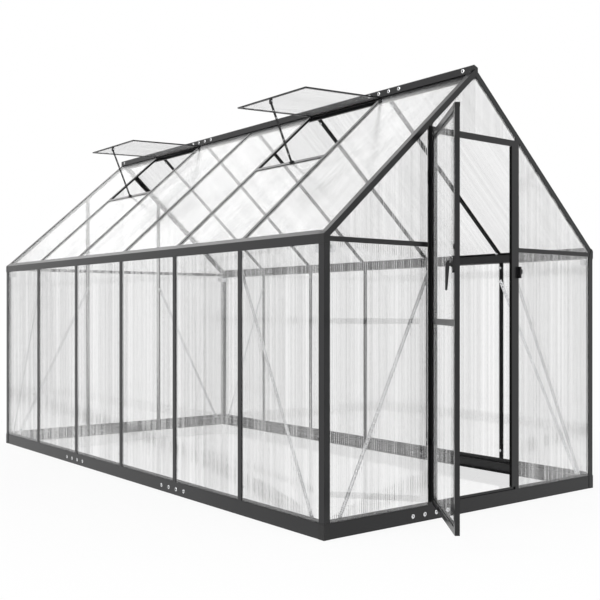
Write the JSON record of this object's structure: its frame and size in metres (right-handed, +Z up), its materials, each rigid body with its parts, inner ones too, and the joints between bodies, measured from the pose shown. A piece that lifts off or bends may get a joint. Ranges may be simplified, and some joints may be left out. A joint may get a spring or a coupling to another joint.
{
  "type": "polycarbonate greenhouse",
  "caption": "Walk-in garden greenhouse with a dark aluminium frame on a base rail, clear twin-wall sheets, a pitched roof with propped open vents and a hinged door standing open.",
  "frame": {"origin": "middle of the doorway's sill, on the ground at the outer face of the front base rail", "axes": "+X across the gable, +Y along the house from the door to the back, +Z up"},
  "size_m": [1.904, 4.1744, 2.159],
  "materials": {
    "anodised_frame": "satin",
    "galvanised_steel": "matt",
    "black_plastic": "matt",
    "polycarbonate": "gloss"
  },
  "bodies": {
    "house": {"base_front": "anodised_frame", "base_back": "anodised_frame", "base_left": "anodised_frame", "base_right": "anodised_frame", "base_joiners": "anodised_frame", "base_corner_covers": "black_plastic", "corner_posts": "anodised_frame", "left_wall_posts": "anodised_frame", "right_wall_posts": "anodised_frame", "left_eave_rail": "anodised_frame", "right_eave_rail": "anodised_frame", "eave_corner_covers": "black_plastic", "ridge_beam": "anodised_frame", "ridge_end_caps": "black_plastic", "front_rafters": "anodised_frame", "back_rafters": "anodised_frame", "left_roof_bars": "anodised_frame", "right_roof_bars": "anodised_frame", "front_gable_rails": "anodised_frame", "back_gable_rail": "anodised_frame", "back_gable_studs": "anodised_frame", "door_posts": "anodised_frame", "door_stop": "anodised_frame", "door_header": "anodised_frame", "corner_brackets": "galvanised_steel", "left_wall_braces": "galvanised_steel", "right_wall_braces": "galvanised_steel", "front_braces": "galvanised_steel", "back_braces": "galvanised_steel", "left_wall_panels": "polycarbonate", "right_wall_panels": "polycarbonate", "front_wall_panels": "polycarbonate", "front_gable_panels": "polycarbonate", "back_wall_panels": "polycarbonate", "back_gable_panels": "polycarbonate", "left_roof_panels": "polycarbonate", "right_roof_panels": "polycarbonate", "vent_sills": "anodised_frame", "vent_hinges": "anodised_frame", "vent_side_rails": "anodised_frame", "vent_end_rails": "anodised_frame", "vent_panels": "polycarbonate", "vent_stays": "black_plastic", "door_hinge_pins": "anodised_frame", "latch_keeper": "black_plastic"},
    "door": {"door_stiles": "anodised_frame", "door_rails": "anodised_frame", "door_panels": "polycarbonate", "door_corner_caps": "black_plastic", "door_hinge_leaves": "anodised_frame", "handle_plate": "black_plastic"},
    "handle": {"door_handle": "black_plastic"}
  },
  "joints": [
    {"name": "door_swing", "type": "hinge", "parent": "house", "child": "door", "pos_m": [-0.306, -0.017, 0.98], "axis": [0, 0, 1], "range_deg": [-42.25, 127.75]},
    {"name": "handle_turn", "type": "hinge", "parent": "door", "child": "handle", "pos_m": [-0.67456, -0.493, 1.152], "axis": [-0.7907, 0.6122, 0], "range_deg": [-90, 0]}
  ]
}
